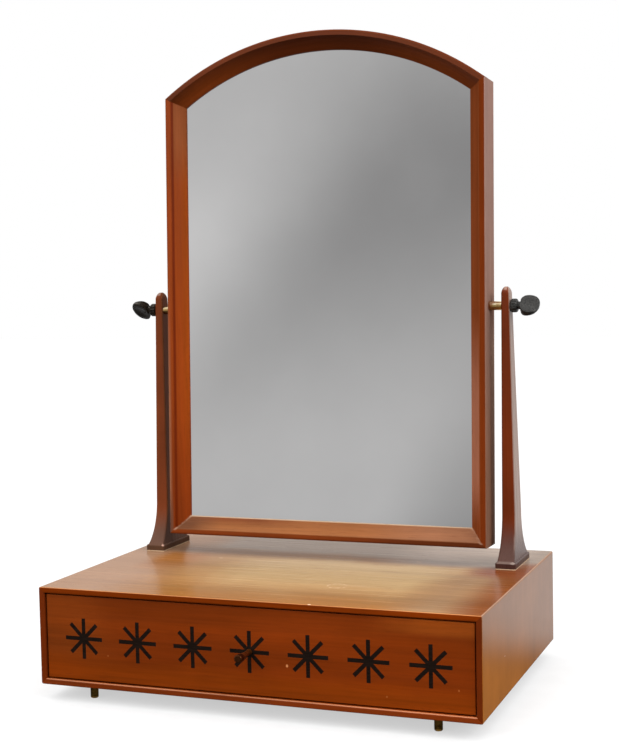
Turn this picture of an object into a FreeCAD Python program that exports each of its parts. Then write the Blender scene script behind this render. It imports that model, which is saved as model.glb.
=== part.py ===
import FreeCAD, Part
import math
import os

# Table mirror: an arched looking-glass that tilts between two posts on a low case with one drawer.
# Millimetres, +Z up, +Y towards the back. The origin lies on the surface that the feet stand on,
# under the centre of the whole object's box.

V = FreeCAD.Vector
X_AXIS = V(1, 0, 0)
Y_AXIS = V(0, 1, 0)

# Case
case_width = 445.0
case_depth = 309.5
case_height = 96.6
panel = 6.0
back_panel = 5.0
case_corner_radius = 1.8
case_arris = 0.8
opening_arris = 1.5

# Feet
foot_diameter = 7.9
foot_height = 15.8
foot_edge_radius = 1.6
foot_side_inset = 46.7
foot_end_inset = 21.5
foot_stud_diameter = 4.0
foot_stud_cover = 1.5

# Drawer
drawer_recess = 2.3
drawer_gap = 1.2
drawer_run = 0.3
drawer_front_thickness = 10.0
drawer_arris = 0.5
drawer_lap = 4.0
drawer_wall = 6.0
drawer_wall_drop = 12.0
drawer_base = 3.5
drawer_base_lift = 5.0
drawer_groove = 3.0
drawer_stop_depth = 9.2
drawer_stop_width = 24.0
drawer_stop_height = 14.0
drawer_stop_inset = 60.0

# Star inlays: bars crossing at one centre
star_count = 7
star_bars = 4
star_size = 39.8
star_bar = 3.9
star_depth = 1.2
star_margin = 20.5
star_drop = 0.5

# Knob and the screw that holds it
knob_length = 27.0
knob_root_diameter = 6.0
knob_waist_diameter = 5.0
knob_end_diameter = 7.8
knob_head = 5.0
knob_edge_radius = 1.4
knob_screw_diameter = 3.0
knob_screw_grip = 12.0
knob_screw_head_diameter = 7.0
knob_screw_head = 2.4

# Posts
post_side_inset = 15.5
post_back_inset = 43.0
post_base_width = 21.0
post_base_depth = 67.5
post_base_height = 7.0
post_base_arris = 1.6
post_height = 284.5
post_top_width = 8.2
post_top_depth = 14.6
post_front_lean = 1.8
post_inner_lean = 1.1
post_dome = 7.0
post_corner_radius = 1.8
cove_height = 48.0
cove_start = 30.0
cove_inner = 3.2
cove_outer = 4.1
cove_front = 19.0
cove_back = 18.5
post_screw_diameter = 3.5
post_screw_length = 24.0
post_screw_spacing = 18.0
post_screw_head_diameter = 7.0
post_screw_head = 2.2

# Pivot and thumb-screws
pivot_below_top = 19.5
pivot_forward = 1.6
shank_diameter = 5.0
shank_tip_gap = 1.0
spacer_diameter = 9.2
spacer_length = 12.3
insert_diameter = 9.0
insert_wall = 1.2
collar_diameter = 14.0
collar_length = 7.0
collar_edge_radius = 2.0
collar_flutes = 14
collar_flute_diameter = 2.0
neck_diameter = 8.0
neck_length = 2.4
paddle_length = 19.6
paddle_height = 25.4
paddle_roundness = 2.36
paddle_root_thickness = 9.6
paddle_tip_thickness = 2.2
paddle_rim = 1.8
paddle_dish = 0.8
paddle_edge_radius = 1.2
thumbscrew_left_turn = 49.0
thumbscrew_right_turn = -49.0

# Mirror: the frame's section runs from its outer side to the sight edge
mirror_gap = 19.6
frame_side_height = 473.7
arch_rise = 60.2
frame_depth = 36.6
frame_forward = 0.65
frame_flat = 5.8
frame_bevel = 12.8
bevel_depth = 14.6
bevel_hollow = 1.3
sight_lip = 1.5
rebate = 6.0
frame_arris = 1.8
frame_arris_flats = 3
glass = 4.0
backing = 4.0
glass_play = 0.5
pin_diameter = 1.4
pin_length = 12.0
pin_side_shares = (0.25, 0.75)
mirror_lean = 1.85

# Clearances: moving faces, a shaft in its hole, a loose hole, and a fixed stud or screw in its hole
seat_clearance = 0.3
shaft_clearance = 0.08
hole_clearance = 0.2
stud_clearance = 0.05

# Places worked out from the sizes
half_case = case_width / 2
knob_reach = knob_length - drawer_recess
front_y = -(case_depth - max(knob_reach, 0)) / 2
back_y = front_y + case_depth
floor_z = foot_height + panel
case_top = foot_height + case_height
ceiling_z = case_top - panel
inner_half = half_case - panel
foot_stud_length = panel - foot_stud_cover

drawer_half = inner_half - drawer_gap
face_y = front_y + drawer_recess
drawer_front_back = face_y + drawer_front_thickness
drawer_rear = back_y - back_panel - drawer_stop_depth - seat_clearance
drawer_front_low = floor_z + drawer_gap
drawer_front_high = ceiling_z - drawer_gap
drawer_wall_low = floor_z + drawer_run
drawer_wall_high = drawer_front_high - drawer_wall_drop
drawer_base_z = drawer_wall_low + drawer_base_lift
drawer_clear_half = drawer_half - drawer_wall
star_z = (drawer_front_low + drawer_front_high) / 2 - star_drop
star_pitch = (2 * (drawer_half - star_margin) - star_size) / (star_count - 1)

base_outer = half_case - post_side_inset
base_inner = base_outer - post_base_width
base_back = back_y - post_back_inset
base_front = base_back - post_base_depth
plinth_z = case_top + post_base_height
shaft_z = plinth_z + cove_height
post_top = case_top + post_height
dome_z = post_top - post_dome
shaft_inner = base_inner + cove_inner
shaft_outer = base_outer - cove_outer
shaft_front = base_front + cove_front
shaft_back = base_back - cove_back
post_screw_x = (shaft_inner + shaft_outer) / 2
post_screw_y = (shaft_front + shaft_back) / 2


def shaft_sides(z):
    """The right-hand shaft's inner, outer, front and back faces at a height."""
    rise = max(z - shaft_z, 0.0) / (post_top - shaft_z)
    top_inner = shaft_inner + post_inner_lean
    top_outer = top_inner + post_top_width
    top_front = shaft_front + post_front_lean
    top_back = top_front + post_top_depth
    inner = shaft_inner + rise * (top_inner - shaft_inner)
    outer = shaft_outer + rise * (top_outer - shaft_outer)
    front = shaft_front + rise * (top_front - shaft_front)
    back = shaft_back + rise * (top_back - shaft_back)
    return inner, outer, front, back


pivot_z = post_top - pivot_below_top
pivot_y = sum(shaft_sides(pivot_z)[2:]) / 2 - pivot_forward
pivot = V(0, pivot_y, pivot_z)
frame_half = shaft_sides(pivot_z - spacer_diameter / 2)[0] - seat_clearance - spacer_length
frame_front = pivot_y - frame_depth / 2 - frame_forward
frame_back = frame_front + frame_depth
frame_bottom = case_top + mirror_gap
shoulder_z = frame_bottom + frame_side_height
arch_radius = (frame_half ** 2 + arch_rise ** 2) / (2 * arch_rise)
arch_centre_z = shoulder_z + arch_rise - arch_radius
sight_inset = frame_flat + frame_bevel
rebate_inset = sight_inset - rebate
insert_length = rebate_inset - insert_wall
glass_front = frame_front + bevel_depth + sight_lip
board_front = glass_front + glass
board_back = board_front + backing
shank_radius = shank_diameter / 2
collar_x = shaft_sides(pivot_z - collar_diameter / 2)[1] + seat_clearance
neck_x = collar_x + collar_length
paddle_x = neck_x + neck_length


def box(x0, x1, y0, y1, z0, z1):
    return Part.makeBox(x1 - x0, y1 - y0, z1 - z0, V(x0, y0, z0))


def rod(start, end, radius):
    run = end - start
    return Part.makeCylinder(radius, run.Length, start, run)


def prism_along_y(points, y0, y1):
    corners = [V(x, y0, z) for x, z in points]
    outline = Part.makePolygon(corners + corners[:1])
    return Part.Face(outline).extrude(V(0, y1 - y0, 0))


def mirrored(shape):
    return shape.mirror(V(0, 0, 0), X_AXIS)


def edges_at_y(shape, y):
    return [edge for edge in shape.Edges if all(abs(v.Y - y) < 1e-6 for v in edge.Vertexes)]


# Case


def case_shell():
    outer = box(-half_case, half_case, front_y, back_y, foot_height, case_top)
    long_edges = [edge for edge in outer.Edges if edge.BoundBox.YLength > case_depth / 2]
    outer = outer.makeFillet(case_corner_radius, long_edges)
    outer = outer.makeFillet(case_arris, edges_at_y(outer, front_y))
    shell = outer.cut(box(-inner_half, inner_half, front_y, back_y, floor_z, ceiling_z))
    opening = [edge for edge in edges_at_y(shell, front_y)
               if all(abs(v.X) < inner_half + 1e-6 for v in edge.Vertexes)]
    return shell.makeFillet(opening_arris, opening)


def mitred_panel(shell, corner_a, corner_b, inward):
    """The part of the shell between two outer corners, cut along the mitres at both ends."""
    reach = 1.5 * panel
    outside = 0.2 * panel
    middle_x = (corner_a[0] + corner_b[0]) / 2
    middle_z = (corner_a[1] + corner_b[1]) / 2
    points = []
    for step in (-outside, reach):
        for x, z in (corner_a, corner_b):
            along_x = inward[0] or math.copysign(1, middle_x - x)
            along_z = inward[1] or math.copysign(1, middle_z - z)
            points.append((x + step * along_x, z + step * along_z))
    ordered = [points[0], points[1], points[3], points[2]]
    return shell.common(prism_along_y(ordered, front_y, back_y))


def foot_places():
    for end, y in (("front", front_y + foot_end_inset), ("rear", back_y - foot_end_inset)):
        for side, sign in (("left", -1), ("right", 1)):
            yield f"foot_{end}_{side}", sign * (half_case - foot_side_inset), y


def foot(x, y):
    radius = foot_diameter / 2
    pin = Part.makeCylinder(radius, foot_height, V(x, y, 0))
    edge = min(foot_edge_radius, 0.45 * foot_diameter)
    pin = pin.makeFillet(edge, [e for e in pin.Edges if e.BoundBox.ZMax < 1e-6])
    return pin.fuse(Part.makeCylinder(foot_stud_diameter / 2, foot_stud_length, V(x, y, foot_height)))


def foot_stud_hole(x, y):
    depth = foot_stud_length + stud_clearance
    return Part.makeCylinder(foot_stud_diameter / 2 + stud_clearance, depth, V(x, y, foot_height))


def drawer_stop(sign):
    x = sign * (inner_half - drawer_stop_inset)
    return box(x - drawer_stop_width / 2, x + drawer_stop_width / 2, drawer_rear + seat_clearance,
               back_y - back_panel, floor_z, floor_z + drawer_stop_height)


# Posts


def cove(part):
    """Height and remaining spread, 1 to 0, of an elliptic cove at a share of its turn."""
    first = math.radians(cove_start)
    angle = first + part * (math.pi / 2 - first)
    rise = 1 - math.cos(angle) / math.cos(first)
    return plinth_z + cove_height * rise, (1 - math.sin(angle)) / (1 - math.sin(first))


def rounded_section(x0, x1, y0, y1, z, corner_radius):
    radius = min(corner_radius, 0.4 * (x1 - x0), 0.4 * (y1 - y0))
    corners = [(x0, y0, 1, 1), (x1, y0, -1, 1), (x1, y1, -1, -1), (x0, y1, 1, -1)]
    slant = radius * (1 - math.sqrt(0.5))
    edges = []
    for index, (x, y, into_x, into_y) in enumerate(corners):
        along_y = V(x, y + into_y * radius, z)
        along_x = V(x + into_x * radius, y, z)
        middle = V(x + into_x * slant, y + into_y * slant, z)
        arc = (along_y, middle, along_x) if index % 2 == 0 else (along_x, middle, along_y)
        if edges:
            edges.append(Part.LineSegment(edges[-1].EndPoint, arc[0]))
        edges.append(Part.Arc(*arc))
    edges.append(Part.LineSegment(edges[-1].EndPoint, edges[0].StartPoint))
    return Part.Wire([edge.toShape() for edge in edges])


def shaft_section(z, spread=0.0, dome_turn=0.0):
    """The shaft's section at a height, spread by the cove below, drawn in and rounded by the dome above."""
    inner, outer, front, back = shaft_sides(z)
    x0 = inner - spread * (cove_inner - post_base_arris)
    x1 = outer + spread * (cove_outer - post_base_arris)
    y0 = front - spread * (cove_front - post_base_arris)
    y1 = back + spread * (cove_back - post_base_arris)
    shrink = math.cos(dome_turn)
    half_x, half_y = shrink * (x1 - x0) / 2, shrink * (y1 - y0) / 2
    corner = post_corner_radius + math.sin(dome_turn) * (post_top_width / 2 - post_corner_radius)
    x, y = (x0 + x1) / 2, (y0 + y1) / 2
    return rounded_section(x - half_x, x + half_x, y - half_y, y + half_y, z, corner)


def post_right():
    cove_steps = 6
    dome_angles = (0, 20, 40, 58, 74)
    flare_sections = [shaft_section(*cove(step / cove_steps)) for step in range(cove_steps + 1)]
    dome_sections = []
    for angle in dome_angles:
        turn = math.radians(angle)
        dome_sections.append(shaft_section(dome_z + post_dome * math.sin(turn), 0.0, turn))
    flare = Part.makeLoft(flare_sections, True, False)
    shaft = Part.makeLoft([flare_sections[-1], dome_sections[0]], True, True)
    dome = Part.makeLoft(dome_sections, True, False)
    plinth = Part.Face(rounded_section(base_inner, base_outer, base_front, base_back, case_top,
                                       post_corner_radius))
    plinth = plinth.extrude(V(0, 0, post_base_height))
    top_edges = [edge for edge in plinth.Edges if edge.BoundBox.ZMin > plinth_z - 1e-6]
    plinth = plinth.makeFillet(post_base_arris, top_edges)
    post = plinth.fuse([flare, shaft, dome]).removeSplitter()
    start = V(base_inner, pivot_y, pivot_z)
    end = V(base_outer, pivot_y, pivot_z)
    return post.cut(rod(start, end, shank_radius + hole_clearance)).cut(post_screw_holes())


def post_screw_places():
    return [post_screw_y - post_screw_spacing / 2, post_screw_y + post_screw_spacing / 2]


def post_screw(y, play=0.0):
    """A countersunk screw with its head in the underside of the case's top panel."""
    head_radius = post_screw_head_diameter / 2 + play
    radius = post_screw_diameter / 2 + play
    base = V(post_screw_x, y, ceiling_z)
    head = Part.makeCone(head_radius, radius, post_screw_head, base)
    return head.fuse(Part.makeCylinder(radius, post_screw_length + play, base))


def post_screw_holes():
    holes = [post_screw(y, stud_clearance) for y in post_screw_places()]
    return holes[0].fuse(holes[1:])


# Drawer


def star(x):
    bars = []
    for index in range(star_bars):
        bar = box(-star_size / 2, star_size / 2, face_y, face_y + star_depth, -star_bar / 2, star_bar / 2)
        bar.rotate(V(0, 0, 0), Y_AXIS, 180.0 * index / star_bars)
        bar.translate(V(x, 0, star_z))
        bars.append(bar)
    return bars[0].fuse(bars[1:]).removeSplitter()


def star_places():
    middle = (star_count - 1) / 2
    return [(index - middle) * star_pitch for index in range(star_count)]


def knob_axis(y):
    return V(0, y, star_z)


def knob():
    end_y = face_y - knob_length
    neck_y = end_y + knob_head
    root = knob_root_diameter / 2
    waist = knob_waist_diameter / 2
    end = knob_end_diameter / 2
    edge = min(knob_edge_radius, 0.45 * knob_head)
    slant = edge * (1 - math.sqrt(0.5))
    side = Part.BSplineCurve()
    side.interpolate([V(root, face_y, star_z), V(waist, (face_y + neck_y) / 2, star_z),
                      V(end, neck_y, star_z)])
    rim = Part.Arc(V(end, end_y + edge, star_z), V(end - slant, end_y + slant, star_z),
                   V(end - edge, end_y, star_z))
    lines = [(knob_axis(face_y), side.StartPoint), (side.EndPoint, rim.StartPoint),
             (rim.EndPoint, knob_axis(end_y)), (knob_axis(end_y), knob_axis(face_y))]
    edges = [Part.LineSegment(*line).toShape() for line in lines]
    outline = Part.Wire([edges[0], side.toShape(), edges[1], rim.toShape(), edges[2], edges[3]])
    body = Part.Face(outline).revolve(knob_axis(face_y), Y_AXIS, 360)
    return body.cut(knob_screw_hole())


def knob_screw():
    radius = knob_screw_diameter / 2
    shank = rod(knob_axis(drawer_front_back), knob_axis(face_y - knob_screw_grip), radius)
    head_end = knob_axis(drawer_front_back + knob_screw_head)
    return shank.fuse(rod(knob_axis(drawer_front_back), head_end, knob_screw_head_diameter / 2))


def knob_screw_hole():
    tip = knob_axis(face_y - knob_screw_grip - stud_clearance)
    return rod(knob_axis(drawer_front_back), tip, knob_screw_diameter / 2 + stud_clearance)


def drawer_board():
    """The drawer's bottom board, let into the grooves of the front and the sides."""
    half = drawer_clear_half + drawer_groove
    return box(-half, half, drawer_front_back - drawer_groove, drawer_rear,
               drawer_base_z, drawer_base_z + drawer_base)


def drawer_wall_right():
    wall = box(drawer_clear_half, drawer_half, face_y + drawer_lap, drawer_rear,
               drawer_wall_low, drawer_wall_high)
    return wall.cut(drawer_board())


def drawer_front(stars):
    front = box(-drawer_half, drawer_half, face_y, drawer_front_back, drawer_front_low, drawer_front_high)
    front = front.makeFillet(drawer_arris, edges_at_y(front, face_y))
    for sign in (-1, 1):
        ends = sorted((sign * drawer_clear_half, sign * drawer_half))
        front = front.cut(box(*ends, face_y + drawer_lap, drawer_front_back,
                              drawer_front_low, drawer_wall_high))
    return front.cut(stars).cut(drawer_board()).cut(knob_screw_hole())


def drawer_back():
    return box(-drawer_clear_half, drawer_clear_half, drawer_rear - drawer_wall, drawer_rear,
               drawer_base_z + drawer_base, drawer_wall_high)


# Mirror, built upright and leaned back about the pivot at the end


def outline(inset, y):
    """The frame's outline, drawn in from its outer side by an inset."""
    half = frame_half - inset
    low = frame_bottom + inset
    radius = arch_radius - inset
    high = arch_centre_z + math.sqrt(radius ** 2 - half ** 2)
    left, right = V(-half, y, low), V(half, y, low)
    left_shoulder, right_shoulder = V(-half, y, high), V(half, y, high)
    arch = Part.Arc(right_shoulder, V(0, y, arch_centre_z + radius), left_shoulder)
    sides = [Part.LineSegment(left, right), Part.LineSegment(right, right_shoulder), arch,
             Part.LineSegment(left_shoulder, left)]
    return Part.Wire([side.toShape() for side in sides])


def slab(inset, y0, y1):
    return Part.Face(outline(inset, y0)).extrude(V(0, y1 - y0, 0))


def frame_section(place):
    """The frame's section as a face; place(inset, y) puts one of its points into space.
    Its outer front arris is planed round in a few narrow flats."""
    arris = min(frame_arris, 0.4 * frame_flat)
    turns = [math.pi / 2 * step / frame_arris_flats for step in range(frame_arris_flats + 1)]
    roll = [(arris * (1 - math.cos(turn)), frame_front + arris * (1 - math.sin(turn))) for turn in turns]
    front = [place(*corner) for corner in roll + [(frame_flat, frame_front)]]
    back = [place(*corner) for corner in (
        (sight_inset, frame_front + bevel_depth), (sight_inset, glass_front), (rebate_inset, glass_front),
        (rebate_inset, frame_back), (0, frame_back))]
    slope = math.atan2(bevel_depth, frame_bevel)
    deepest = place(frame_flat + frame_bevel / 2 - bevel_hollow * math.sin(slope),
                    frame_front + bevel_depth / 2 + bevel_hollow * math.cos(slope))
    hollow = Part.BSplineCurve()
    hollow.interpolate([front[-1], deepest, back[0]])
    front_lines = [Part.LineSegment(a, b).toShape() for a, b in zip(front, front[1:])]
    back_lines = [Part.LineSegment(a, b).toShape() for a, b in zip(back, back[1:] + front[:1])]
    return Part.Face(Part.Wire(front_lines + [hollow.toShape()] + back_lines))


def stile_bar():
    """Like the other members, longer than its mitres by the width of the section."""
    face = frame_section(lambda inset, y: V(frame_half - inset, y, frame_bottom - sight_inset))
    return face.extrude(V(0, 0, frame_side_height + 2 * sight_inset))


def bottom_bar():
    face = frame_section(lambda inset, y: V(-frame_half - sight_inset, y, frame_bottom + inset))
    return face.extrude(V(2 * (frame_half + sight_inset), 0, 0))


def arch_bar():
    face = frame_section(lambda inset, y: V(0, y, arch_centre_z + arch_radius - inset))
    half_turn = math.degrees(math.asin(frame_half / arch_radius) + sight_inset / arch_radius)
    hub = V(0, frame_front, arch_centre_z)
    return face.rotated(hub, Y_AXIS, -half_turn).revolve(hub, Y_AXIS, 2 * half_turn)


def mitre_line(corner_index):
    """A point outside the frame and one inside its sight edge, on the mitre at a corner."""
    outer = outline(0, frame_front).OrderedVertexes[corner_index].Point
    inner = outline(sight_inset, frame_front).OrderedVertexes[corner_index].Point
    run = inner - outer
    overshoot = 0.25 * run
    far_out, far_in = outer - overshoot, inner + overshoot
    return (far_out.x, far_out.z), (far_in.x, far_in.z)


def frame_pieces():
    (low_left, low_left_in), (low_right, low_right_in) = mitre_line(0), mitre_line(1)
    (high_right, high_right_in), (high_left, high_left_in) = mitre_line(2), mitre_line(3)
    above = shoulder_z + 1.2 * arch_rise
    stile = stile_bar()
    members = {
        "frame_bottom_rail": (bottom_bar(), [low_left, low_right, low_right_in, low_left_in]),
        "frame_right_stile": (stile, [low_right, high_right, high_right_in, low_right_in]),
        "frame_left_stile": (mirrored(stile), [low_left, low_left_in, high_left_in, high_left]),
        "frame_arch_rail": (arch_bar(), [high_right, (high_right[0], above), (high_left[0], above),
                                         high_left, high_left_in, high_right_in]),
    }
    holes = pin_group(stud_clearance)
    return {node: bar.common(prism_along_y(region, frame_front, frame_back)).cut(holes)
            for node, (bar, region) in members.items()}


def pin_places():
    """Each pin's point on the rebate's wall and its direction into the wood."""
    y = board_back + pin_diameter / 2 + stud_clearance
    half = frame_half - rebate_inset
    low = frame_bottom + rebate_inset
    radius = arch_radius - rebate_inset
    for sign in (-1, 1):
        for share in pin_side_shares:
            yield V(sign * half, y, frame_bottom + share * frame_side_height), V(sign, 0, 0)
        yield V(sign * half / 2, y, low), V(0, 0, -1)
        turn = sign * math.asin(frame_half / arch_radius) / 2
        outward = V(math.sin(turn), 0, math.cos(turn))
        yield V(0, y, arch_centre_z) + outward * radius, outward


def pin_group(play=0.0):
    half = pin_length / 2
    radius = pin_diameter / 2 + play
    pins = [rod(place - into * half, place + into * (half + play), radius) for place, into in pin_places()]
    return Part.makeCompound(pins)


def pivot_point(x):
    return V(x, pivot_y, pivot_z)


def insert_seat(play=0.0):
    return rod(pivot_point(frame_half), pivot_point(frame_half - insert_length - play),
               insert_diameter / 2 + play)


def shank_hole(x0, x1):
    return rod(pivot_point(x0), pivot_point(x1), shank_radius + shaft_clearance)


def insert_right():
    return insert_seat().cut(shank_hole(frame_half, frame_half - insert_length))


def spacer_right():
    end = frame_half + spacer_length
    tube = rod(pivot_point(frame_half), pivot_point(end), spacer_diameter / 2)
    return tube.cut(shank_hole(frame_half, end))


def leaned(shape):
    return shape.rotated(pivot, X_AXIS, -mirror_lean)


# Thumb-screws, built for the right-hand post with the paddle upright


def collar_right():
    body = rod(pivot_point(collar_x), pivot_point(neck_x), collar_diameter / 2)
    rims = [edge for edge in body.Edges if edge.BoundBox.XLength < 1e-6]
    body = body.makeFillet(min(collar_edge_radius, 0.3 * collar_length), rims)
    flutes = []
    flute_lift = collar_diameter / 2 + 0.2 * collar_flute_diameter
    for index in range(collar_flutes):
        flute = rod(pivot_point(collar_x), pivot_point(neck_x), collar_flute_diameter / 2)
        flute.translate(V(0, 0, flute_lift))
        flute.rotate(pivot, X_AXIS, 360.0 * index / collar_flutes)
        flutes.append(flute)
    return body.cut(flutes).cut(shank_hole(collar_x, neck_x))


def paddle():
    """An oval wedge, thick at its root and thin at its tip, dished on both sides."""
    steps = 10
    first, last = math.radians(20), math.radians(172)
    sections = []
    for step in range(steps + 1):
        along = -math.cos(first + (last - first) * step / steps)
        share = (1 + along) / 2
        half_height = paddle_height / 2 * (1 - abs(along) ** paddle_roundness) ** (1 / paddle_roundness)
        half_thick = (paddle_root_thickness + share * (paddle_tip_thickness - paddle_root_thickness)) / 2
        sections.append(rounded_section(-half_height, half_height, -half_thick, half_thick,
                                        share * paddle_length, paddle_edge_radius))
    body = Part.makeLoft(sections, True, False)
    hollow = min(paddle_length, paddle_height) / 2 - paddle_rim
    ball = (hollow ** 2 + paddle_dish ** 2) / (2 * paddle_dish)
    slope = math.atan2(paddle_root_thickness - paddle_tip_thickness, 2 * paddle_length)
    middle = (paddle_root_thickness + paddle_tip_thickness) / 4
    lift = ball - paddle_dish
    for side in (-1, 1):
        centre = V(0, side * (middle + lift * math.cos(slope)), paddle_length / 2 + lift * math.sin(slope))
        body = body.cut(Part.makeSphere(ball, centre))
    body.rotate(V(0, 0, 0), Y_AXIS, 90)
    body.translate(pivot_point(paddle_x))
    return body


def thumbscrew_right():
    tip = frame_half - insert_length + shank_tip_gap
    shank = rod(pivot_point(tip), pivot_point(neck_x), shank_radius)
    neck = rod(pivot_point(neck_x), pivot_point(paddle_x + paddle_root_thickness / 2), neck_diameter / 2)
    return shank.fuse([neck, paddle()]).removeSplitter()


def turned(shape, angle):
    return shape.rotated(pivot, X_AXIS, angle)


def build():
    nodes = {}
    shell = case_shell()
    top_left, top_right = (-half_case, case_top), (half_case, case_top)
    low_left, low_right = (-half_case, foot_height), (half_case, foot_height)
    screw_holes = post_screw_holes()
    nodes["case_top_panel"] = mitred_panel(shell, top_left, top_right, (0, -1)).cut(
        [screw_holes, mirrored(screw_holes)])
    nodes["case_bottom_panel"] = mitred_panel(shell, low_left, low_right, (0, 1)).cut(
        [foot_stud_hole(x, y) for name, x, y in foot_places()])
    nodes["case_left_side"] = mitred_panel(shell, low_left, top_left, (1, 0))
    nodes["case_right_side"] = mitred_panel(shell, low_right, top_right, (-1, 0))
    nodes["case_back"] = box(-inner_half, inner_half, back_y - back_panel, back_y, floor_z, ceiling_z)
    nodes["drawer_stops"] = Part.makeCompound([drawer_stop(-1), drawer_stop(1)])
    for name, x, y in foot_places():
        nodes[name] = foot(x, y)

    nodes["post_right"] = post_right()
    nodes["post_left"] = mirrored(nodes["post_right"])
    screws = [post_screw(y) for y in post_screw_places()]
    nodes["post_screws"] = Part.makeCompound(screws + [mirrored(screw) for screw in screws])

    stars = [star(x) for x in star_places()]
    nodes["drawer_front"] = drawer_front(stars)
    nodes["star_inlays"] = Part.makeCompound([shape.cut(knob_screw_hole()) for shape in stars])
    nodes["drawer_right_side"] = drawer_wall_right()
    nodes["drawer_left_side"] = mirrored(nodes["drawer_right_side"])
    nodes["drawer_back"] = drawer_back()
    nodes["drawer_bottom"] = drawer_board()
    nodes["drawer_knob"] = knob()
    nodes["knob_screw"] = knob_screw()

    upright = frame_pieces()
    seat = insert_seat(stud_clearance)
    upright["frame_right_stile"] = upright["frame_right_stile"].cut(seat)
    upright["frame_left_stile"] = upright["frame_left_stile"].cut(mirrored(seat))
    upright["mirror_glass"] = slab(rebate_inset + glass_play, glass_front, board_front)
    upright["backing_board"] = slab(rebate_inset + glass_play, board_front, board_back)
    upright["backing_pins"] = pin_group()
    upright["pivot_insert_right"] = insert_right()
    upright["spacer_right"] = spacer_right()
    for piece in ("pivot_insert", "spacer"):
        upright[f"{piece}_left"] = mirrored(upright[f"{piece}_right"])
    for node, shape in upright.items():
        nodes[node] = leaned(shape)

    screw = thumbscrew_right()
    collar = collar_right()
    nodes["thumbscrew_right"] = turned(screw, thumbscrew_right_turn)
    nodes["collar_right"] = turned(collar, thumbscrew_right_turn)
    nodes["thumbscrew_left"] = turned(mirrored(screw), thumbscrew_left_turn)
    nodes["collar_left"] = turned(mirrored(collar), thumbscrew_left_turn)
    return nodes


os.makedirs("parts", exist_ok=True)
for node, shape in build().items():
    shape.exportStep(f"parts/{node}.step")
    box_size = shape.BoundBox
    print(f"{node}: {len(shape.Solids)} solid(s), volume {shape.Volume:.1f}, valid {shape.isValid()}, "
          f"{box_size.XLength:.2f} x {box_size.YLength:.2f} x {box_size.ZLength:.2f}")
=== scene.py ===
import math

import bpy
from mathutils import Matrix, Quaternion, Vector


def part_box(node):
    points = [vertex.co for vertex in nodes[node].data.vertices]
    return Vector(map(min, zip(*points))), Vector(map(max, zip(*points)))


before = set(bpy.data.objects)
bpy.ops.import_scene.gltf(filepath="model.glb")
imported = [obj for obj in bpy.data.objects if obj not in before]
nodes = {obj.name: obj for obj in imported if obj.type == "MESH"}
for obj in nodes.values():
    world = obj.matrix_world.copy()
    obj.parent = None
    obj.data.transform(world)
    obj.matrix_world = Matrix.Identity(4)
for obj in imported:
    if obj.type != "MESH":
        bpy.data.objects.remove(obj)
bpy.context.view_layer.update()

# Looks of the table mirror: satin wood with a long grain, silvered glass, aged brass and blackened metal.
# Metres, +Z up, +Y towards the back. Colours are written as the 0 to 255 values seen on a screen.
# Many tones of the wood and metal hold painted light: painted highlights, painted shade and painted
# reflections.

scene = bpy.context.scene

# Camera
camera_place = Vector((0.5268, -1.3444, 0.4066))
camera_aim = Vector((-0.0086, 0.0532, 0.3050))
camera_roll = math.radians(-1.15)
camera_lens = 68.35
camera_sensor = 36.0

# Light: the dome at the horizon, its rise overhead, what each lamp adds to white, and the floor's own glow
dome_level = 0.5
dome_rise = 1.8
key_level = 0.5
fill_level = 0.5
floor_glow = 0.55

# Lamps
key_place = Vector((-0.7, -1.7, 1.2))
key_size = 1.4
fill_place = Vector((1.7, -0.5, 1.2))
fill_size = 1.2
lamp_aim = Vector((0, 0, 0.3))

# Places in the frame
case_top_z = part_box("case_top_panel")[1].z
face_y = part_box("drawer_front")[0].y
side_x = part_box("case_right_side")[1].x
post_top_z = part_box("post_left")[1].z
frame_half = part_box("frame_right_stile")[1].x
rail_low_z, rail_high_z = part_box("frame_bottom_rail")[0].z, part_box("frame_bottom_rail")[1].z
pivot_y, pivot_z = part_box("spacer_right")[0].lerp(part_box("spacer_right")[1], 0.5)[1:]

# The mirror frame: rise of its arch, width of the flat along its outer edge, and the painted line inside
# that, which is painted shade on the left stile and a painted highlight on the right one
arch_rise = 0.0602
frame_flat = 0.0058
painted_line_inset = 0.0073
rail_flat_z = rail_low_z + frame_flat

# Patterns of the wood, as repeats in a metre across the grain and along it
streak_pitch = (38, 2.2)
fibre_pitch = (420, 9)
pore_pitch = (1500, 55)
cloud_pitch = 9

# Where the dark, middle and light tones of a wood lie on the sum of its patterns
tone_stops = (0.33, 0.5, 0.68)

# Zones: width of a crisp border between two of them, and the pattern that makes a soft border ragged
crisp = 0.001
stir_pitch = 14


def screen(red, green, blue):
    """A screen colour as the linear colour that a shader takes."""
    def linear(value):
        share = value / 255
        return share / 12.92 if share <= 0.04045 else ((share + 0.055) / 1.055) ** 2.4
    return (linear(red), linear(green), linear(blue), 1.0)


def grey(value):
    return screen(value, value, value)


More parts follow.
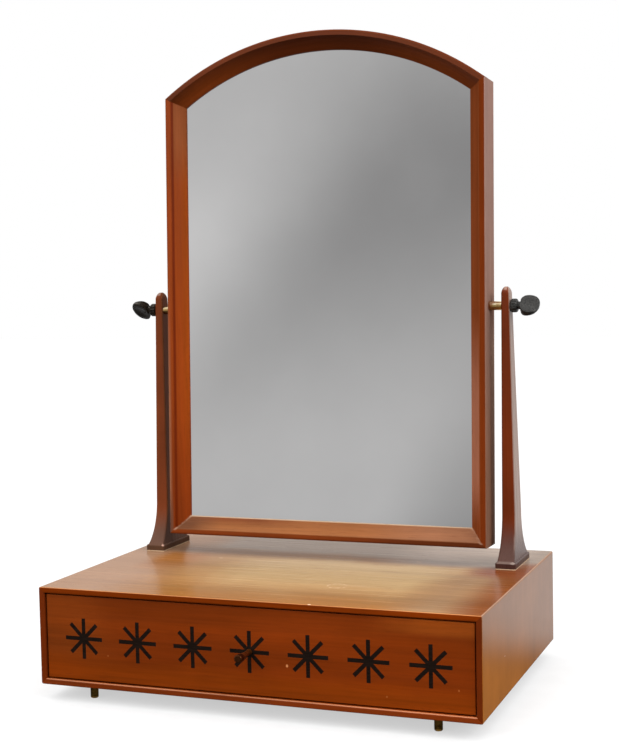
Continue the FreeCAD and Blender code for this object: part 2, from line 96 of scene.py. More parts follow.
class Graph:
    """A node tree with short ways to add and join nodes."""

    def __init__(self, tree):
        self.tree = tree

    def put(self, value, socket):
        if isinstance(value, bpy.types.NodeSocket):
            self.tree.links.new(value, socket)
        elif value is not None:
            socket.default_value = value

    def add(self, kind, inputs=(), **settings):
        node = self.tree.nodes.new(kind)
        for name, value in settings.items():
            setattr(node, name, value)
        for name, value in dict(inputs).items():
            self.put(value, node.inputs[name])
        return node

    def math(self, operation, a, b=None):
        node = self.add("ShaderNodeMath", operation=operation)
        self.put(a, node.inputs[0])
        self.put(b, node.inputs[1])
        return node.outputs[0]

    def product(self, *values):
        result = values[0]
        for value in values[1:]:
            result = self.math("MULTIPLY", result, value)
        return result

    def total(self, *values):
        result = values[0]
        for value in values[1:]:
            result = self.math("ADD", result, value)
        return result

    def place(self):
        """The point in the part's own frame."""
        return self.add("ShaderNodeTexCoord").outputs["Object"]

    def split(self, vector):
        return self.add("ShaderNodeSeparateXYZ", {"Vector": vector}).outputs

    def join(self, x, y, z):
        return self.add("ShaderNodeCombineXYZ", {"X": x, "Y": y, "Z": z}).outputs[0]

    def scaled(self, vector, scale):
        node = self.add("ShaderNodeVectorMath", operation="MULTIPLY")
        self.put(vector, node.inputs[0])
        self.put(scale, node.inputs[1])
        return node.outputs[0]

    def noise(self, vector, scale=1.0, detail=3.0, roughness=0.5, distortion=0.0):
        node = self.add("ShaderNodeTexNoise", {
            "Vector": vector, "Scale": scale, "Detail": detail, "Roughness": roughness,
            "Distortion": distortion})
        return node.outputs[0]

    def facing(self, axis, low, high):
        """1 on faces of the piece that look along an axis, and 0 on those that don't."""
        node = self.add("ShaderNodeVectorMath", operation="DOT_PRODUCT")
        self.put(self.add("ShaderNodeTexCoord").outputs["Normal"], node.inputs[0])
        self.put(Vector(axis).normalized(), node.inputs[1])
        return self.remap(node.outputs["Value"], low, high)

    def distance(self, vector, centre, reach):
        """The distance from a centre, in shares of a reach along each axis."""
        node = self.add("ShaderNodeVectorMath", operation="SUBTRACT")
        self.put(vector, node.inputs[0])
        self.put(centre, node.inputs[1])
        share = self.scaled(node.outputs[0], [1 / length for length in reach])
        length = self.add("ShaderNodeVectorMath", operation="LENGTH")
        self.put(share, length.inputs[0])
        return length.outputs["Value"]

    def remap(self, value, low, high, to_low=0.0, to_high=1.0):
        node = self.add("ShaderNodeMapRange", {
            "Value": value, "From Min": low, "From Max": high, "To Min": to_low, "To Max": to_high},
            interpolation_type="SMOOTHSTEP")
        return node.outputs[0]

    def ramp(self, value, stops):
        node = self.add("ShaderNodeValToRGB", {"Fac": value})
        stops = list(stops)
        elements = node.color_ramp.elements
        while len(elements) < len(stops):
            elements.new(0.5)
        for element, (place, colour) in zip(elements, stops):
            element.position = place
            element.color = colour
        return node.outputs["Color"]

    def mix(self, share, first, second):
        node = self.add("ShaderNodeMix", data_type="RGBA")
        self.put(share, node.inputs["Factor"])
        self.put(first, node.inputs["A"])
        self.put(second, node.inputs["B"])
        return node.outputs["Result"]


class Finish(Graph):
    """A material around one principled shader."""

    def __init__(self, name, **constants):
        self.material = bpy.data.materials.new(name)
        self.material.use_nodes = True
        super().__init__(self.material.node_tree)
        self.shader = self.tree.nodes["Principled BSDF"]
        for socket, value in constants.items():
            self.shader.inputs[socket.replace("_", " ")].default_value = value

    def colour(self, socket):
        self.put(socket, self.shader.inputs["Base Color"])

    def roughness(self, socket):
        self.put(socket, self.shader.inputs["Roughness"])

    def bump(self, height, strength, distance):
        node = self.add("ShaderNodeBump", {"Height": height, "Strength": strength, "Distance": distance})
        self.put(node.outputs[0], self.shader.inputs["Normal"])


# Kinds of material


def stretched(grain, across, along):
    """Scales for a pattern that is drawn out along the grain."""
    return Vector([along if axis == grain else across for axis in "XYZ"])


def arch_place(finish):
    """Coordinates that follow the arch: distance from its centre, depth, and length along it."""
    low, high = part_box("frame_arch_rail")
    half = (high.x - low.x) / 2
    radius = (half ** 2 + arch_rise ** 2) / (2 * arch_rise)
    x, y, z = finish.split(finish.place())
    rise = finish.math("SUBTRACT", z, high.z - radius)
    turn = finish.math("ARCTAN2", x, rise)
    reach = finish.math("SQRT", finish.total(finish.product(x, x), finish.product(rise, rise)))
    return finish.join(reach, y, finish.product(turn, radius))


def wood(name, grain, base_tones, roughness=0.34, specular=0.1, zones=(), arch=False, figure=0.62, fibre=0.2,
         relief=0.08):
    """Satin wood: broad streaks, fine fibres and short pores along the grain.
    Each of the zones is a share function and the tones that painted light and shade, polish or wear give the
    wood there.
    The figure is the share of the streaks, the fibre is that of the fibres, and soft clouds take the rest."""
    finish = Finish(name, Specular_IOR_Level=specular)
    place = arch_place(finish) if arch else finish.place()
    streaks = finish.noise(finish.scaled(place, stretched(grain, *streak_pitch)), detail=4, roughness=0.6,
                           distortion=0.4)
    fibres = finish.noise(finish.scaled(place, stretched(grain, *fibre_pitch)), detail=3, roughness=0.6)
    pores = finish.noise(finish.scaled(place, stretched(grain, *pore_pitch)), detail=2)
    clouds = finish.noise(place, scale=cloud_pitch, detail=6, roughness=0.62)
    tone = finish.total(finish.product(streaks, figure), finish.product(fibres, fibre),
                        finish.product(clouds, 1 - figure - fibre))
    colour = finish.ramp(tone, zip(tone_stops, base_tones))
    for zone, zone_tones in zones:
        colour = finish.mix(zone(finish), colour, finish.ramp(tone, zip(tone_stops, zone_tones)))
    pore_share = finish.remap(pores, 0.6, 0.72, 0.0, 2.2 * fibre)
    finish.colour(finish.mix(pore_share, colour, base_tones[0]))
    finish.roughness(finish.remap(fibres, 0.3, 0.7, roughness - 0.2 * fibre, roughness + 0.3 * fibre))
    height = finish.math("SUBTRACT", fibres, finish.product(pore_share, 1.5))
    finish.bump(height, strength=relief, distance=0.0004)
    return finish.material


def brass(name, bright, dull, roughness, zones=()):
    """Aged brass. Each of the zones is a share function and a tint."""
    finish = Finish(name, Metallic=1.0)
    patina = finish.noise(finish.place(), scale=160, detail=4, roughness=0.65)
    colour = finish.ramp(patina, [(0.38, dull), (0.62, bright)])
    for zone, tint in zones:
        colour = finish.mix(zone(finish), colour, finish.ramp(patina, [(0.3, dull), (0.6, tint)]))
    finish.colour(colour)
    finish.roughness(finish.remap(patina, 0.3, 0.7, roughness + 0.12, roughness))
    finish.bump(patina, strength=0.05, distance=0.0003)
    return finish.material


def black_metal(name, dark, light, roughness, specular, zones=()):
    """Blackened cast metal with a fine mottle. Each of the zones is a share function and a tint."""
    finish = Finish(name, Specular_IOR_Level=specular)
    mottle = finish.noise(finish.place(), scale=820, detail=4, roughness=0.6)
    colour = finish.ramp(mottle, [(0.4, dark), (0.62, light)])
    for zone, tint in zones:
        colour = finish.mix(zone(finish), colour, finish.ramp(mottle, [(0.3, dark), (0.55, tint)]))
    finish.colour(colour)
    finish.roughness(finish.remap(mottle, 0.3, 0.7, roughness + 0.1, roughness))
    finish.bump(mottle, strength=0.25, distance=0.0004)
    return finish.material


def steel():
    finish = Finish("steel", Metallic=1.0)
    grain = finish.noise(finish.place(), scale=600, detail=3)
    finish.colour(finish.ramp(grain, [(0.3, screen(140, 140, 138)), (0.7, screen(190, 190, 188))]))
    finish.roughness(finish.remap(grain, 0.3, 0.7, 0.3, 0.45))
    return finish.material


def inlay():
    finish = Finish("inlay_black", Specular_IOR_Level=0.06)
    grain = finish.noise(finish.scaled(finish.place(), stretched("X", 700, 90)), detail=3)
    finish.colour(finish.ramp(grain, [(0.3, screen(18, 11, 7)), (0.7, screen(30, 20, 14))]))
    finish.roughness(finish.remap(grain, 0.3, 0.7, 0.36, 0.46))
    return finish.material


def silvered_glass():
    """A bright mirror with a very faint haze."""
    finish = Finish("mirror", Metallic=1.0)
    haze = finish.noise(finish.place(), scale=14, detail=3)
    finish.colour(finish.ramp(haze, [(0.3, screen(245, 244, 244)), (0.7, screen(249, 248, 248))]))
    finish.roughness(finish.remap(haze, 0.4, 0.75, 0.0, 0.03))
    return finish.material


def board():
    finish = Finish("back_board", Specular_IOR_Level=0.2)
    place = finish.place()
    flecks = finish.noise(place, scale=700, detail=4, roughness=0.7)
    clouds = finish.noise(place, scale=12, detail=3)
    tone = finish.total(finish.product(flecks, 0.6), finish.product(clouds, 0.4))
    finish.colour(finish.ramp(tone, [(0.35, screen(92, 62, 38)), (0.65, screen(132, 96, 62))]))
    finish.roughness(finish.remap(flecks, 0.3, 0.7, 0.7, 0.85))
    finish.bump(flecks, strength=0.15, distance=0.0003)
    return finish.material


# Zones of a piece, as functions that give each point's share of the zone


def looks(axis, low=0.45, high=0.8):
    """The faces that look along an axis."""
    return lambda finish: finish.facing(axis, low, high)


def arris(axis):
    """The rounded edge that looks along an axis, between two faces that don't."""
    return looks(axis, 0.84, 0.96)


def span(axis, none, whole, stir=0.0):
    """What lies along an axis beyond a border, which is soft from none to whole, and ragged if stirred."""
    def share(finish):
        value = finish.split(finish.place())[axis]
        if stir:
            noise = finish.noise(finish.place(), scale=stir_pitch, detail=3)
            value = finish.total(value, finish.product(finish.math("SUBTRACT", noise, 0.5), stir))
        return finish.remap(value, none, whole)
    return share


def where(*zones):
    """Where all the given zones overlap."""
    return lambda finish: finish.product(*[zone(finish) for zone in zones])


def band(axis, none, whole, whole_end, none_end, stir=0.0):
    """What lies along an axis between two borders."""
    return where(span(axis, none, whole, stir), span(axis, none_end, whole_end, stir))


def spot(centre, reach):
    """A small oval mark, whose edge is soft."""
    return lambda finish: finish.remap(finish.distance(finish.place(), centre, reach), 1.0, 0.55)


def ring(centre, radius):
    """The broken edge of a round mark."""
    def share(finish):
        away = finish.distance(finish.place(), centre, (radius, radius, radius))
        edge = finish.remap(finish.math("ABSOLUTE", finish.math("SUBTRACT", away, 1.0)), 0.13, 0.03)
        wear = finish.noise(finish.place(), scale=220, detail=2)
        return finish.product(edge, finish.remap(wear, 0.42, 0.62, 0.0, 0.6))
    return share


def above_case(none, whole):
    """What lies beyond a border, given as heights above the case top."""
    return span("Z", case_top_z + none, case_top_z + whole)


def painted_side_haze(finish):
    """The upper and rear part of the right side, beyond a slanting line, where a painted reflection haze
    lies.
    """
    slope = 3.3
    place = finish.split(finish.place())
    slant = finish.total(place["Y"], finish.product(place["Z"], slope))
    stir = finish.product(finish.noise(finish.place(), scale=stir_pitch, detail=3), 0.02)
    return finish.remap(finish.total(slant, stir), 0.04, 0.29)


def mitre_scuff_and_glints(finish):
    """A faint worn line along the frame's two lower mitres, with painted glints at both ends of the hollow,
    where it is stronger.
    """
    half_width = 0.0028
    sight = rail_high_z - rail_low_z
    place = finish.split(finish.place())
    from_side = finish.math("SUBTRACT", frame_half, finish.math("ABSOLUTE", place["X"]))
    from_low = finish.math("SUBTRACT", place["Z"], rail_low_z)
    away = finish.math("ABSOLUTE", finish.math("SUBTRACT", from_side, from_low))
    # Painted glints at the two ends of the hollow
    lower_end = finish.remap(from_low, frame_flat + 0.0035, frame_flat + 0.0005)
    upper_end = finish.remap(from_low, sight - 0.003, sight - 0.0005)
    wear = finish.remap(finish.noise(finish.place(), scale=300, detail=3), 0.4, 0.7, 0.0, 0.3)
    strength = finish.total(wear, finish.product(finish.math("MAXIMUM", lower_end, upper_end), 0.5))
    in_hollow = finish.remap(from_low, frame_flat - crisp, frame_flat)
    return finish.product(finish.remap(away, half_width, 0.0), strength, in_hollow)


def arch_ends(finish):
    """The two ends of the arch."""
    return finish.remap(finish.math("ABSOLUTE", finish.split(finish.place())["X"]), 0.04, 0.14)


up, right, left = looks((0, 0, 1)), looks((1, 0, 0)), looks((-1, 0, 0))


# Woods of the pieces


def tones(*middle, spread=0.16):
    """Dark, middle and light tones around a screen colour."""
    return [screen(*[min(value * share, 255) for value in middle]) for share in (1 - spread, 1, 1 + spread)]


front_tones = tones(120, 46, 5, spread=0.19)
edge_tones = tones(102, 38, 6, spread=0.14)
worn_tones = tones(206, 178, 146, spread=0.06)
scratch_tones = tones(196, 160, 128)
# Worn scuff with painted glints, for the lower mitres
scuff_and_glint_tones = tones(178, 142, 118, spread=0.08)
chip_tones = tones(226, 186, 150, spread=0.05)


def top_wood():
    """The case top, with painted light: paler and yellower in the middle from a painted pool of light thrown
    by the mirror, greyer at the left and behind from painted reflection haze, with painted shade behind too,
    and redder at the right. Painted reflections of the posts lie in front of them, and painted highlights run
    along the front and right arrises.
    """
    left_end = span("X", -0.085, -0.175, 0.03)
    right_end = span("X", 0.16, 0.20, 0.02)
    middle = where(band("X", -0.16, -0.03, 0.12, 0.205, 0.05),
                   span("Y", -0.14, -0.03, 0.04), span("Y", 0.075, 0.035, 0.05))
    painted_left_post_reflection = where(band("X", -0.19, -0.165, -0.15, -0.11, 0.02),
                             band("Y", -0.05, 0.02, 0.05, 0.07, 0.02))
    painted_shade_and_haze_behind = where(span("Y", 0.075, 0.105, 0.02), span("X", -0.17, -0.12))
    painted_haze_back_right = where(span("Y", 0.045, 0.075, 0.02), band("X", 0.04, 0.12, 0.18, 0.22))
    front_right = where(span("Y", 0.05, -0.02, 0.03), span("X", 0.12, 0.17, 0.03),
                        span("X", 0.22, 0.17, 0.02))
    painted_right_post_reflection = where(span("X", 0.15, 0.185, 0.02), span("Y", 0.0, 0.035, 0.02),
                              span("Y", 0.075, 0.055))
    round_mark = ring((0.0589, -0.0600, case_top_z), 0.0092)
    chip = spot((0.0612, -0.1412, case_top_z - 0.0002), (0.0022, 0.0013, 0.001))
    left_scratch = spot((-0.1087, 0.0392, case_top_z), (0.0032, 0.0009, 0.001))
    right_scratch = spot((0.1015, 0.0733, case_top_z), (0.0045, 0.0012, 0.001))
    return wood("top_wood", "X", tones(112, 43, 5, spread=0.19), roughness=0.22, specular=0.02, zones=[
        (up, tones(137, 91, 45, spread=0.11)),
        # Painted reflection haze at the left end
        (where(up, left_end), tones(140, 107, 82, spread=0.06)),
        (where(up, right_end), tones(113, 63, 30, spread=0.12)),
        # Painted pool of light thrown by the mirror in the middle
        (where(up, middle), tones(160, 132, 93, spread=0.09)),
        # Painted reflection of the left post, then painted shade and reflection haze behind, and painted haze
        # behind at the right
        (where(up, painted_left_post_reflection), tones(140, 90, 46, spread=0.1)),
        (where(up, painted_shade_and_haze_behind), tones(134, 117, 103, spread=0.06)),
        (where(up, painted_haze_back_right), tones(160, 142, 128, spread=0.06)),
        (where(up, front_right), tones(134, 103, 73, spread=0.1)),
        # Painted reflection of the right post
        (where(up, painted_right_post_reflection), tones(106, 55, 28, spread=0.1)),
        # Painted highlights along the front and right arrises
        (arris((0, -1, 1)), tones(176, 116, 70, spread=0.12)),
        (arris((1, 0, 1)), tones(152, 118, 96, spread=0.08)),
        (round_mark, worn_tones),
        (chip, chip_tones),
        (left_scratch, scratch_tones),
        (right_scratch, scratch_tones)])


def left_side_wood():
    return wood("left_side_wood", "Z", edge_tones, roughness=0.26, specular=0.1,
                zones=[(left, tones(130, 58, 13, spread=0.15))], figure=0.4, fibre=0.12, relief=0.04)


def right_side_wood():
    """The right side, with a painted warm reflection that makes it golden low in front, and a painted
    reflection haze above and behind.
    """
    nick = spot((side_x, -0.0579, 0.0557), (0.001, 0.0016, 0.0006))
    return wood("right_side_wood", "Z", edge_tones, roughness=0.26, specular=0.1, zones=[
        # Painted warm reflection on the right face, then painted reflection haze over its upper and rear part
        (right, tones(164, 99, 35, spread=0.1)),
        (where(right, painted_side_haze), tones(130, 87, 56, spread=0.1)),
        (nick, chip_tones)], figure=0.26, fibre=0.04, relief=0.02)


def base_wood():
    """The case bottom and back, with a painted highlight on the front arris."""
    return wood("base_wood", "X", front_tones, roughness=0.3, specular=0.2, zones=[
        # Painted highlight on the front arris
        (arris((0, -1, 1)), tones(176, 110, 72, spread=0.16))])


def front_wood():
    """The drawer front: painted shade makes it darker under the case top, painted light makes it lighter at
    its foot, at its left end and high at the right, and it has a few pale nicks.
    """
    painted_shade_under_top = span("Z", 0.07, 0.088, 0.02)
    left_end = span("X", -0.12, -0.19, 0.06)
    painted_light_at_foot = span("Z", 0.05, 0.034, 0.02)
    painted_light_upper_right = where(span("Z", 0.088, 0.096, 0.01), span("X", 0.11, 0.17, 0.04))
    nick = spot((0.0376, face_y, 0.0533), (0.0015, 0.002, 0.0018))
    dents = [spot((0.1337, face_y, 0.0326), (0.0008, 0.001, 0.0011)),
             spot((0.2004, face_y, 0.0437), (0.0008, 0.001, 0.0013)),
             spot((-0.1488, face_y, 0.0485), (0.001, 0.001, 0.0008))]
    zones = [
        # Painted shade under the case top, painted light at the left end, at the foot and high at the right
        (painted_shade_under_top, tones(110, 43, 5, spread=0.2)),
        (left_end, tones(122, 52, 10, spread=0.18)),
        (painted_light_at_foot, tones(129, 52, 4, spread=0.17)),
        (painted_light_upper_right, tones(133, 61, 14, spread=0.18)),
        (nick, tones(200, 128, 78, spread=0.08))]
    zones += [(dent, tones(160, 88, 42)) for dent in dents]
    return wood("front_wood", "X", front_tones, roughness=0.36, specular=0.06, zones=zones)


def stile_zones(side, hollow, near_glass, line, light):
    """A stile's hollow, the part of it near the glass, the painted light and shade on it, and the painted
    line along the hollow.
    """
    boundary = side * (frame_half - frame_flat)
    painted_line = side * (frame_half - painted_line_inset)
    inward = -side * crisp
    along = band("X", painted_line - 1.6 * inward, painted_line - 0.3 * inward, painted_line + 0.2 * inward, painted_line + 1.2 * inward)
    return [
        (span("X", boundary, boundary + inward), hollow),
        # Painted light where the hollow flattens towards the glass
        (span("X", boundary + 6 * inward, boundary + 12 * inward), near_glass),
        # Painted light and shade given for the stile
        *light,
        # The painted line: painted shade on the left stile, a painted highlight on the right one
        (along, line),
        (mitre_scuff_and_glints, scuff_and_glint_tones)]


def left_stile_wood():
    """The left stile, with painted light and shade: duller high up, darker low down, with a painted
    reflection haze on its outer edge there.
    """
    edge = -frame_half
    high = where(span("Z", 0.5, 0.57), span("X", edge + painted_line_inset, edge + painted_line_inset + crisp))
    low = span("Z", 0.30, 0.15)
    painted_haze_edge = where(span("X", edge + 0.0045, edge + 0.0015), span("Z", 0.45, 0.26))
    foot = where(span("X", edge + 0.0055, edge + 0.003), span("Z", 0.19, 0.145))
    zones = stile_zones(
        -1, hollow=tones(132, 55, 10, spread=0.14), near_glass=tones(140, 61, 10, spread=0.14),
        line=tones(98, 31, 2, spread=0.1), light=[
            # Painted light and shade, with a painted reflection haze on the outer edge
            (high, tones(128, 66, 30, spread=0.16)),
            (low, tones(118, 47, 10, spread=0.14)),
            (painted_haze_edge, tones(142, 88, 60, spread=0.1)),
            (foot, tones(102, 62, 44, spread=0.1))])
    return wood("left_stile_wood", "Z", tones(128, 53, 11, spread=0.14), roughness=0.36, specular=0.05,
                zones=zones)


def right_stile_wood():
    """The right stile: painted light low in its hollow, a painted highlight line along the hollow, a painted
    reflection haze on its outer side, painted light over the post's shadow there, and a painted reflection of
    the spacer around the spacer.
    """
    # Painted light low in the hollow
    glow = where(span("X", frame_half - painted_line_inset, frame_half - painted_line_inset - crisp),
                 band("Z", 0.15, 0.21, 0.27, 0.38, 0.03))
    high = span("Z", 0.18, 0.52)
    painted_light_beside_post = where(span("Y", pivot_y - 0.004, pivot_y + 0.006), span("Z", pivot_z, pivot_z - 0.04))
    painted_spacer_reflection = spot((frame_half, pivot_y - 0.003, pivot_z), (0.004, 0.0085, 0.0062))
    zones = stile_zones(
        1, hollow=tones(110, 53, 25, spread=0.16), near_glass=tones(111, 55, 27, spread=0.16),
        line=tones(118, 60, 30, spread=0.1), light=[(glow, tones(142, 89, 67, spread=0.1))])
    # Painted reflection haze on the outer side, stronger high up, painted light over the post's cast shadow,
    # and a painted reflection of the spacer
    zones += [
        (right, tones(122, 88, 70, spread=0.12)),
        (where(right, high), tones(147, 116, 105, spread=0.08)),
        (where(right, painted_light_beside_post), tones(172, 138, 120, spread=0.08)),
        (where(right, painted_spacer_reflection), tones(98, 56, 38, spread=0.1))]
    return wood("right_stile_wood", "Z", tones(102, 42, 13, spread=0.14), roughness=0.34, specular=0.0,
                zones=zones)


def rail_wood():
    """The bottom rail, whose hollow is painted lighter where it catches the light from above, with a thin
    painted highlight along its sight edge.
    """
    front = span("Z", rail_low_z + 0.002, rail_low_z + 0.005)
    front_right = where(span("Z", rail_flat_z + crisp, rail_flat_z), span("X", 0.02, 0.11, 0.03))
    hollow = where(looks((0, -0.66, 0.75), 0.5, 0.8), span("Z", rail_flat_z, rail_flat_z + crisp))
    upper_left = where(span("Z", rail_low_z + 0.010, rail_high_z), span("X", 0.0, -0.09, 0.03))
    right_half = span("X", 0.03, 0.12, 0.03)
    left_end = span("X", -0.12, -0.155, 0.02)
    sight_highlight = span("Z", rail_high_z - 0.0010, rail_high_z - 0.0003)
    return wood("rail_wood", "X", tones(104, 44, 12, spread=0.17), roughness=0.34, specular=0.06, zones=[
        (front, tones(114, 50, 16, spread=0.17)),
        (front_right, tones(88, 38, 12, spread=0.17)),
        # The hollow's painted light from above, changed at its upper left, its right half and its left end
        (hollow, tones(138, 84, 47, spread=0.18)),
        (where(hollow, upper_left), tones(108, 56, 29, spread=0.22)),
        (where(hollow, right_half), tones(138, 90, 62, spread=0.16)),
        (where(hollow, left_end), tones(100, 62, 41, spread=0.16)),
        (mitre_scuff_and_glints, scuff_and_glint_tones),
        # Painted highlight along the sight edge
        (sight_highlight, tones(176, 148, 122, spread=0.1))])


def arch_wood():
    """The arch, whose down-facing hollow is painted dark as shade, darkest in the middle and less dark
    towards its ends.
    """
    hollow = looks((0, -0.6, -0.75), 0.5, 0.75)
    return wood("arch_wood", "Z", tones(102, 44, 14, spread=0.17), roughness=0.34, specular=0.06, zones=[
        # Painted shade on the down-facing hollow, lighter towards the ends
        (hollow, tones(78, 32, 9, spread=0.17)),
        (where(hollow, arch_ends), tones(104, 46, 14, spread=0.2))], arch=True)


def post_wood(name, shaft, flare, plinth, specular, right_face_painted_light, wear):
    """A post: greyer down its flare from a painted reflection haze, darker at its plinth, with a painted
    highlight at its top and a pale line at its foot.
    Its right face, which the camera sees, has painted light of its own, and the wear zones given to it are
    painted highlights."""
    crown_highlight = where(looks((0, -0.62, 0.78), 0.88, 0.99), span("Z", post_top_z - 0.008, post_top_z - 0.005))
    foot_line = where(above_case(0.0011, 0.0005), looks((0, 0, 1), -0.5, -0.3))
    return wood(name, "Z", shaft, roughness=0.28, specular=specular, zones=[
        (right, right_face_painted_light),
        (above_case(0.05, 0.012), flare),
        (above_case(0.0085, 0.0045), plinth),
        *wear,
        # Painted highlight at the top
        (crown_highlight, tones(146, 116, 102, spread=0.06)),
        (foot_line, tones(186, 158, 128, spread=0.06))], figure=0.3, fibre=0.07, relief=0.03)


def left_post_wood():
    low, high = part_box("post_left")
    # A painted highlight spot on the plinth, and painted light on the right face where it lies in shade
    # beside the frame
    corner_highlight = spot((high.x - 0.001, low.y + 0.001, case_top_z + 0.0076), (0.0022, 0.003, 0.0027))
    return post_wood(
        "left_post_wood", shaft=tones(114, 56, 30, spread=0.15), flare=tones(92, 66, 54, spread=0.1),
        plinth=tones(80, 55, 40, spread=0.1), specular=0.02, right_face_painted_light=tones(124, 80, 52, spread=0.1),
        wear=[(corner_highlight, tones(172, 136, 120, spread=0.05))])


def right_post_wood():
    low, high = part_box("post_right")
    # Painted highlights: a spot on the plinth, its rolled top edge and the front edge of the flare; the right
    # face holds a painted sheen
    corner_highlight = spot((high.x - 0.003, low.y + 0.001, case_top_z + 0.0066), (0.0030, 0.003, 0.0016))
    rolled_highlight = where(above_case(0.0050, 0.0066), above_case(0.0085, 0.0070), looks((0, -0.75, 0.66), 0.8, 0.95))
    edge = where(arris((1, -1, 0.2)), above_case(0.014, 0.020), above_case(0.036, 0.028))
    return post_wood(
        "right_post_wood", shaft=tones(98, 37, 8, spread=0.16), flare=tones(78, 54, 47, spread=0.1),
        plinth=tones(62, 38, 32, spread=0.1), specular=0.1, right_face_painted_light=tones(136, 109, 96, spread=0.06),
        wear=[(rolled_highlight, tones(106, 88, 80, spread=0.06)),
              (edge, tones(112, 92, 84, spread=0.06)),
              (corner_highlight, tones(130, 114, 106, spread=0.05))])


def pale_wood(name, grain):
    return wood(name, grain, tones(190, 156, 114, spread=0.1), roughness=0.5, specular=0.3)


# Metals of the pieces


def bright_brass():
    """Brass with a painted highlight on its upper side and painted shade on its lower side."""
    # Painted highlight above and painted shade below
    above = looks((0, -0.5, 0.87), 0.5, 0.85)
    below = looks((0, -0.3, -0.95), 0.1, 0.8)
    return brass("bright_brass", bright=screen(236, 202, 132), dull=screen(186, 146, 84), roughness=0.14,
                 zones=[(above, screen(255, 242, 206)), (below, screen(160, 116, 64))])


def old_brass():
    return brass("old_brass", bright=screen(140, 106, 48), dull=screen(74, 52, 20), roughness=0.34)


def knob_brass():
    """The knob: dark with age at its head, lighter on its stem."""
    tip_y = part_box("drawer_knob")[0].y
    stem = span("Y", tip_y + 0.006, tip_y + 0.009)
    return brass("knob_brass", bright=screen(104, 60, 34), dull=screen(58, 32, 16), roughness=0.3,
                 zones=[(stem, screen(216, 128, 60))])


def right_black_metal():
    """The right thumb-screw, with painted shade underneath."""
    # Painted shade on the down-facing faces
    return black_metal("right_black_metal", dark=screen(12, 12, 11), light=screen(55, 54, 51), roughness=0.36,
                       specular=0.34, zones=[(looks((0, 0, -1), 0.3, 0.7), screen(10, 9, 8))])


def shaded_left_black_metal():
    """The left thumb-screw, painted darker than the right one as shade, with a painted highlight along its
    upper edge.
    """
    # Painted shade overall and a painted highlight on up-facing faces
    return black_metal("shaded_left_black_metal", dark=screen(14, 11, 8), light=screen(44, 36, 27), roughness=0.34,
                       specular=0.07, zones=[(looks((-0.2, -0.3, 0.93), 0.7, 0.95), screen(86, 82, 76))])


# Each piece gets its material


def dress(material, *names):
    for name in names:
        piece = nodes[name]
        piece.data.materials.clear()
        piece.data.materials.append(material)


dress(top_wood(), "case_top_panel")
dress(right_side_wood(), "case_right_side")
dress(left_side_wood(), "case_left_side")
dress(base_wood(), "case_bottom_panel", "case_back")
dress(front_wood(), "drawer_front")
dress(left_stile_wood(), "frame_left_stile")
dress(right_stile_wood(), "frame_right_stile")
dress(rail_wood(), "frame_bottom_rail")
dress(arch_wood(), "frame_arch_rail")
dress(left_post_wood(), "post_left")
dress(right_post_wood(), "post_right")
dress(pale_wood("drawer_side_wood", "Y"), "drawer_left_side", "drawer_right_side")
dress(pale_wood("drawer_inner_wood", "X"), "drawer_back", "drawer_bottom", "drawer_stops")
dress(inlay(), "star_inlays")
dress(silvered_glass(), "mirror_glass")
dress(board(), "backing_board")
dress(bright_brass(), "spacer_left", "spacer_right", "pivot_insert_left", "pivot_insert_right")
dress(old_brass(), "foot_front_left", "foot_front_right", "foot_rear_left", "foot_rear_right")
dress(knob_brass(), "drawer_knob")
dress(right_black_metal(), "thumbscrew_right", "collar_right")
dress(shaded_left_black_metal(), "thumbscrew_left", "collar_left")
dress(steel(), "post_screws", "knob_screw", "backing_pins")


# Stage: pale floor, white surroundings, soft lamps, and a grey sweep that only reflections see


def sheet(name, points, faces):
    """A smooth sheet that belongs to the stage."""
    mesh = bpy.data.meshes.new(name)
    mesh.from_pydata(points, [], faces)
    mesh.shade_smooth()
    piece = bpy.data.objects.new(name, mesh)
    scene.collection.objects.link(piece)
    return piece


def seen_directly(graph):
    """1 for rays from the eye, from a reflection or through glass, and 0 for light that spreads."""
    path = graph.add("ShaderNodeLightPath").outputs
    either = graph.math("MAXIMUM", path["Is Camera Ray"], path["Is Glossy Ray"])
    return graph.math("MAXIMUM", either, path["Is Transmission Ray"])


def make_floor():
    """A pale floor that glows a little where it is seen, and throws less light up at the object."""
    reach = 8.0
    corners = [(-reach, -reach, 0), (reach, -reach, 0), (reach, reach, 0), (-reach, reach, 0)]
    floor = sheet("floor", corners, [(0, 1, 2, 3)])
    finish = Finish("floor_pale", Specular_IOR_Level=0.0, Roughness=1.0)
    seen = seen_directly(finish)
    specks = finish.noise(finish.place(), scale=40, detail=2)
    pale = finish.ramp(specks, [(0.3, grey(149)), (0.7, grey(153))])
    finish.colour(finish.mix(seen, grey(50), pale))
    finish.shader.inputs["Emission Color"].default_value = (1, 1, 1, 1)
    finish.put(finish.product(seen, floor_glow), finish.shader.inputs["Emission Strength"])
    floor.data.materials.append(finish.material)


def make_surroundings():
    """White all round, and for light that spreads, a dome that is brighter overhead than at the horizon."""
    world = bpy.data.worlds.new("surroundings")
    world.use_nodes = True
    scene.world = world
    graph = Graph(world.node_tree)
    background = world.node_tree.nodes["Background"]
    background.inputs["Color"].default_value = (1, 1, 1, 1)
    height = graph.split(graph.add("ShaderNodeTexCoord").outputs["Generated"])["Z"]
    dome = graph.total(graph.product(height, dome_rise), dome_level)
    seen = seen_directly(graph)
    spread = graph.product(graph.math("SUBTRACT", 1.0, seen), dome)
    graph.put(graph.total(seen, spread), background.inputs["Strength"])


def soft_spot(graph, centre, reach, turn=0.0):
    """1 at a point of the sweep, and less towards an ellipse around it."""
    around = graph.add("ShaderNodeMapping", {
        "Vector": graph.place(), "Location": centre, "Rotation": (0, turn, 0), "Scale": reach},
        vector_type="TEXTURE").outputs[0]
    glow = graph.add("ShaderNodeTexGradient", {"Vector": around}, gradient_type="SPHERICAL").outputs["Fac"]
    return graph.remap(glow, 0.0, 1.0)


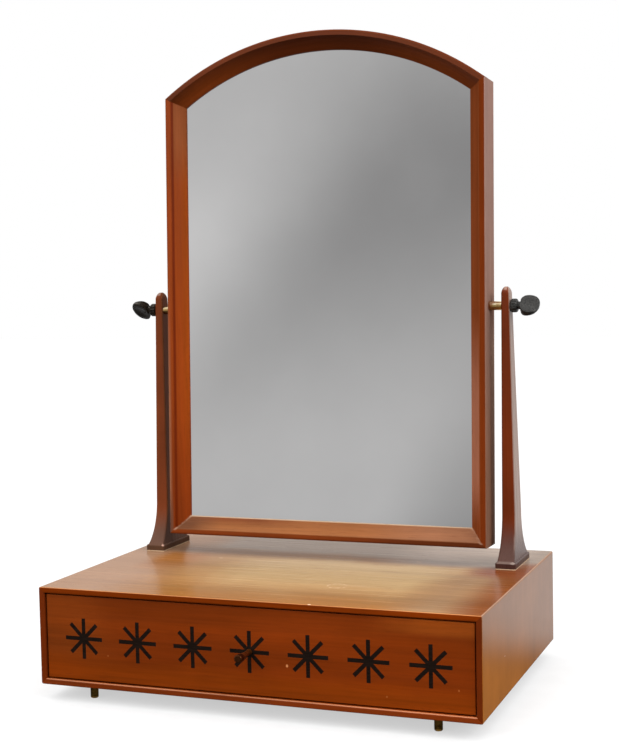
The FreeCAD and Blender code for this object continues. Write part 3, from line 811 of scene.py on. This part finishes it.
def make_sweep():
    """The grey room in front, a glowing sheet that only reflections see, with painted shade that the glass
    shows as a soft slanting shade.
    It runs on below the object, where a painted floor shadow makes the case sides show a dark floor, and it
    turns white behind it and glows white overhead as a stand-in softbox for highlights."""
    half = 4.0
    wall_y = -1.10
    profile = [(0.32, 0.002), (-0.70, 0.002), (-0.86, 0.02), (-0.98, 0.07), (-1.06, 0.17), (wall_y, 0.32),
               (wall_y, 3.6)]
    points = [(side * half, y, z) for y, z in profile for side in (-1, 1)]
    faces = [(i, i + 1, i + 3, i + 2) for i in range(0, 2 * len(profile) - 2, 2)]
    sweep = sheet("sweep", points, faces)
    sweep.visible_camera = False
    sweep.visible_diffuse = False
    sweep.visible_shadow = False
    sweep.visible_transmission = False
    material = bpy.data.materials.new("sweep_grey")
    material.use_nodes = True
    graph = Graph(material.node_tree)
    dark = soft_spot(graph, (0.135, wall_y, 0.77), (2.2, 3, 0.5), math.radians(-16))
    light = soft_spot(graph, (-0.86, wall_y, 0.467), (0.82, 3, 0.31), math.radians(-44))
    low = soft_spot(graph, (-0.09, wall_y, -0.12), (0.22, 3, 0.6))
    place = graph.split(graph.place())
    under = graph.remap(place["Y"], -0.95, -0.5)
    behind = graph.remap(place["Y"], 0.10, 0.28)
    overhead = graph.remap(place["Z"], 1.05, 1.4)
    # Painted shade and light in the grey room, which the glass shows
    colour = graph.mix(dark, grey(185), grey(136))
    colour = graph.mix(light, colour, grey(205))
    colour = graph.mix(low, colour, grey(142))
    # Painted shadow of the floor under the object, seen in reflections
    colour = graph.mix(under, colour, grey(90))
    colour = graph.mix(behind, colour, grey(255))
    # White glow overhead, standing in for a softbox in highlights
    colour = graph.mix(overhead, colour, grey(255))
    glow = graph.add("ShaderNodeEmission", {"Color": colour}).outputs[0]
    graph.put(glow, material.node_tree.nodes["Material Output"].inputs["Surface"])
    sweep.data.materials.append(material)


def make_lamp(name, place, size, level):
    """A square lamp that lights a white surface facing it, at the lamps' aim, to the given level."""
    reach = lamp_aim - place
    lamp = bpy.data.lights.new(name, "AREA")
    lamp.shape = "SQUARE"
    lamp.size = size
    lamp.energy = level * (math.pi * reach.length) ** 2
    holder = bpy.data.objects.new(name, lamp)
    holder.location = place
    holder.rotation_euler = reach.to_track_quat("-Z", "Y").to_euler()
    scene.collection.objects.link(holder)


def make_camera():
    lens = bpy.data.cameras.new("camera")
    lens.lens = camera_lens
    lens.sensor_width = camera_sensor
    camera = bpy.data.objects.new("camera", lens)
    look = (camera_aim - camera_place).to_track_quat("-Z", "Y")
    camera.location = camera_place
    camera.rotation_mode = "QUATERNION"
    camera.rotation_quaternion = look @ Quaternion((0, 0, 1), camera_roll)
    scene.collection.objects.link(camera)
    scene.camera = camera


make_floor()
make_surroundings()
make_sweep()
make_lamp("key", key_place, key_size, key_level)
make_lamp("fill", fill_place, fill_size, fill_level)
make_camera()
scene.view_settings.view_transform = "Standard"
